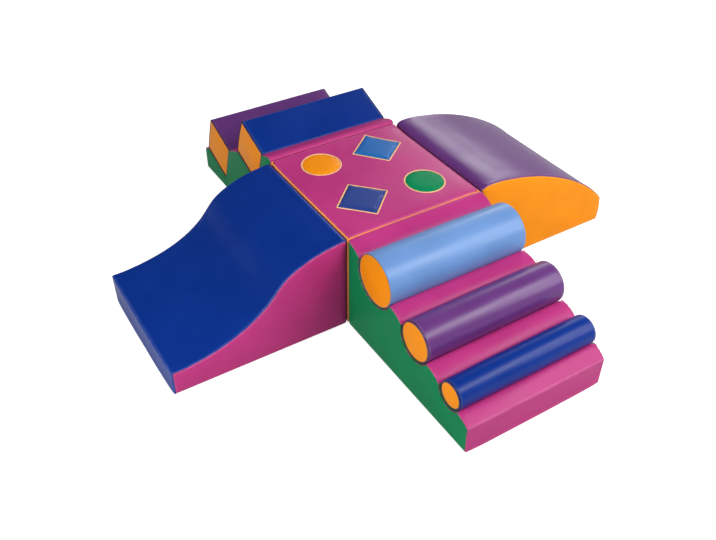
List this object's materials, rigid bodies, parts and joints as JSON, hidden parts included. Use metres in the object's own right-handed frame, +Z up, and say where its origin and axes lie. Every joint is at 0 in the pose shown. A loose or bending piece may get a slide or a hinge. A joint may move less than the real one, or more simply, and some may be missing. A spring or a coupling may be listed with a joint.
{
  "type": "soft play foam climber",
  "caption": "Low vinyl-covered foam climber in a cross plan: a square block with padded shapes, ringed by a slide, a rounded hump, roller steps and a base with loose prisms.",
  "frame": {"origin": "on the floor, at the middle of the underside of the square centre block", "axes": "+Z up; the slide leaves the block toward -X, the hump toward +X, the roller steps toward -Y and the prism base toward +Y"},
  "size_m": [2.0377, 2.0675, 0.4659],
  "materials": {
    "foam": "open-cell polyurethane foam, cream",
    "magenta_vinyl": "satin coated vinyl, magenta",
    "blue_vinyl": "satin coated vinyl, dark blue",
    "light_blue_vinyl": "satin coated vinyl, light blue",
    "mid_blue_vinyl": "satin coated vinyl, mid blue",
    "orange_vinyl": "satin coated vinyl, orange",
    "purple_vinyl": "satin coated vinyl, purple",
    "green_vinyl": "satin coated vinyl, green",
    "underside_vinyl": "matt dark grey anti-slip vinyl",
    "hook_loop": "matt woven nylon hook and loop tape",
    "zip": "moulded nylon zip on woven tape"
  },
  "bodies": {
    "centre": {"centre_core": "foam", "centre_top_panel": "magenta_vinyl", "centre_side_cover": "magenta_vinyl", "centre_underside": "underside_vinyl", "centre_zip": "zip", "centre_piping": "orange_vinyl", "orange_disc_pad": "orange_vinyl", "green_disc_pad": "green_vinyl", "light_blue_square_pad": "mid_blue_vinyl", "dark_blue_square_pad": "blue_vinyl", "slide_hook_strip": "hook_loop", "hump_hook_strip": "hook_loop", "steps_hook_strip": "hook_loop", "prism_base_hook_strip": "hook_loop"},
    "slide": {"slide_core": "foam", "slide_top_cover": "blue_vinyl", "slide_side_cover": "magenta_vinyl", "slide_underside": "underside_vinyl", "slide_zip": "zip", "slide_loop_strip": "hook_loop"},
    "hump": {"hump_core": "foam", "hump_top_cover": "purple_vinyl", "hump_side_cover": "orange_vinyl", "hump_underside": "underside_vinyl", "hump_zip": "zip", "hump_loop_strip": "hook_loop"},
    "steps": {"steps_core": "foam", "steps_top_cover": "magenta_vinyl", "steps_side_cover": "green_vinyl", "steps_underside": "underside_vinyl", "steps_zip": "zip", "steps_loop_strip": "hook_loop"},
    "prism_base": {"prism_base_core": "foam", "prism_base_top_cover": "magenta_vinyl", "prism_base_side_cover": "green_vinyl", "prism_base_underside": "underside_vinyl", "prism_base_zip": "zip", "prism_base_loop_strip": "hook_loop"},
    "large_roller": {"large_roller_core": "foam", "large_roller_sleeve": "light_blue_vinyl", "large_roller_left_end": "orange_vinyl", "large_roller_right_end": "orange_vinyl"},
    "medium_roller": {"medium_roller_core": "foam", "medium_roller_sleeve": "purple_vinyl", "medium_roller_left_end": "orange_vinyl", "medium_roller_right_end": "orange_vinyl"},
    "small_roller": {"small_roller_core": "foam", "small_roller_sleeve": "blue_vinyl", "small_roller_left_end": "orange_vinyl", "small_roller_right_end": "orange_vinyl"},
    "blue_prism": {"blue_prism_core": "foam", "blue_prism_sleeve": "blue_vinyl", "blue_prism_left_end": "orange_vinyl", "blue_prism_right_end": "orange_vinyl"},
    "purple_prism": {"purple_prism_core": "foam", "purple_prism_sleeve": "purple_vinyl", "purple_prism_left_end": "orange_vinyl", "purple_prism_right_end": "orange_vinyl"}
  },
  "joints": [
    {"name": "slide_pull_away", "type": "slide", "parent": "centre", "child": "slide", "axis": [-1, 0, 0], "range_m": [0, 0.25]},
    {"name": "hump_pull_away", "type": "slide", "parent": "centre", "child": "hump", "axis": [1, 0, 0], "range_m": [0, 0.25]},
    {"name": "steps_pull_away", "type": "slide", "parent": "centre", "child": "steps", "axis": [0, -1, 0], "range_m": [0, 0.25]},
    {"name": "prism_base_pull_away", "type": "slide", "parent": "centre", "child": "prism_base", "axis": [0, 1, 0], "range_m": [0, 0.25]},
    {"name": "large_roller_lift_out", "type": "slide", "parent": "steps", "child": "large_roller", "axis": [0, -0.3624, 0.932], "range_m": [0, 0.25]},
    {"name": "medium_roller_lift_out", "type": "slide", "parent": "steps", "child": "medium_roller", "axis": [0, -0.3624, 0.932], "range_m": [0, 0.25]},
    {"name": "small_roller_lift_out", "type": "slide", "parent": "steps", "child": "small_roller", "axis": [0, -0.3624, 0.932], "range_m": [0, 0.25]},
    {"name": "blue_prism_lift_out", "type": "slide", "parent": "prism_base", "child": "blue_prism", "axis": [0, 0.415, 0.9098], "range_m": [0, 0.25]},
    {"name": "purple_prism_lift_out", "type": "slide", "parent": "prism_base", "child": "purple_prism", "axis": [0, 0.415, 0.9098], "range_m": [0, 0.25]}
  ]
}
